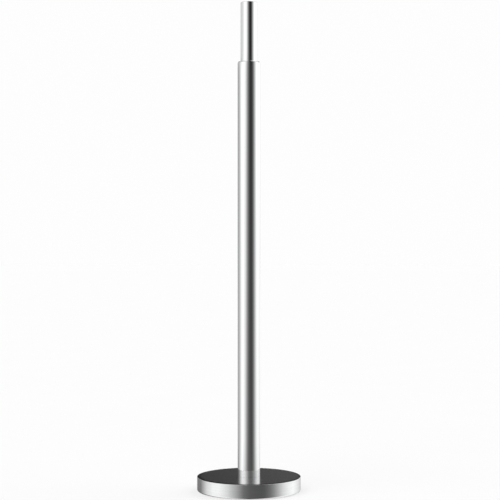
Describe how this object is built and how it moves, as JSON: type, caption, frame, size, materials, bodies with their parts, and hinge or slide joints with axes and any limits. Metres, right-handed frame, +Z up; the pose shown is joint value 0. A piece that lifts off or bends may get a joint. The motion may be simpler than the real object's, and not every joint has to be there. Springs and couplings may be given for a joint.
{
  "type": "flag pole stand",
  "caption": "Free-standing flag pole stand: weighted round base, round polished post, and a thinner sliding tube with an internal twist lock and a socket for a flag staff.",
  "frame": {"origin": "centre of the base at floor level, on the post's axis", "axes": "+Z up along the post; the base and tubes are round about Z; +X towards the locating pin inside the base"},
  "size_m": [0.3, 0.3, 1.416],
  "materials": {
    "polished_steel": "mirror polished, with faint lengthwise polishing lines",
    "dark_mirror_plate": "dark mirror plating",
    "cast_iron": "as cast, painted black",
    "black_rubber": "matt moulded",
    "zinc_steel": "zinc plated",
    "spring_steel": "oiled spring steel",
    "turned_steel": "turned",
    "black_steel": "black oxide",
    "black_plastic": "moulded nylon",
    "pale_plastic": "natural acetal",
    "aluminium": "turned",
    "brass": "turned"
  },
  "bodies": {
    "base": {"floor_ring": "black_rubber", "rim_band": "polished_steel", "band_screws": "zinc_steel", "ballast_disc": "cast_iron", "top_plate": "dark_mirror_plate", "post_gasket": "black_rubber", "centre_bolt": "zinc_steel", "bolt_washer": "zinc_steel", "spring_washer": "spring_steel", "locating_pin": "spring_steel", "foot_plug": "turned_steel", "bump_stop": "black_rubber", "post_tube": "polished_steel", "mouth_bush": "black_plastic"},
    "upper": {"upper_tube": "polished_steel", "staff_bush": "black_plastic", "end_plug": "aluminium", "lower_guide_ring": "pale_plastic", "plug_rivets": "aluminium", "stud_pin": "spring_steel", "lock_stud": "zinc_steel", "thrust_washer": "brass", "stop_ring": "turned_steel", "stop_ring_screws": "black_steel", "stop_nut": "zinc_steel"},
    "lock_sleeve": {"expander_sleeve": "pale_plastic"},
    "lock_cone": {"expander_cone": "aluminium"}
  },
  "joints": [
    {"name": "height_slide", "type": "slide", "parent": "base", "child": "lock_sleeve", "axis": [0, 0, 1], "range_m": [-0.153, 0.7]},
    {"name": "twist_lock", "type": "hinge", "parent": "lock_sleeve", "child": "upper", "pos_m": [0, 0, 0.3], "axis": [0, 0, 1], "range_deg": [0, 180]},
    {"name": "cone_travel", "type": "slide", "parent": "lock_sleeve", "child": "lock_cone", "axis": [0, 0, 1], "range_m": [-0.0009, 0]}
  ],
  "couplings": [
    {"joint": "cone_travel", "follows": "twist_lock", "m_per_rad": -0.00027852}
  ]
}
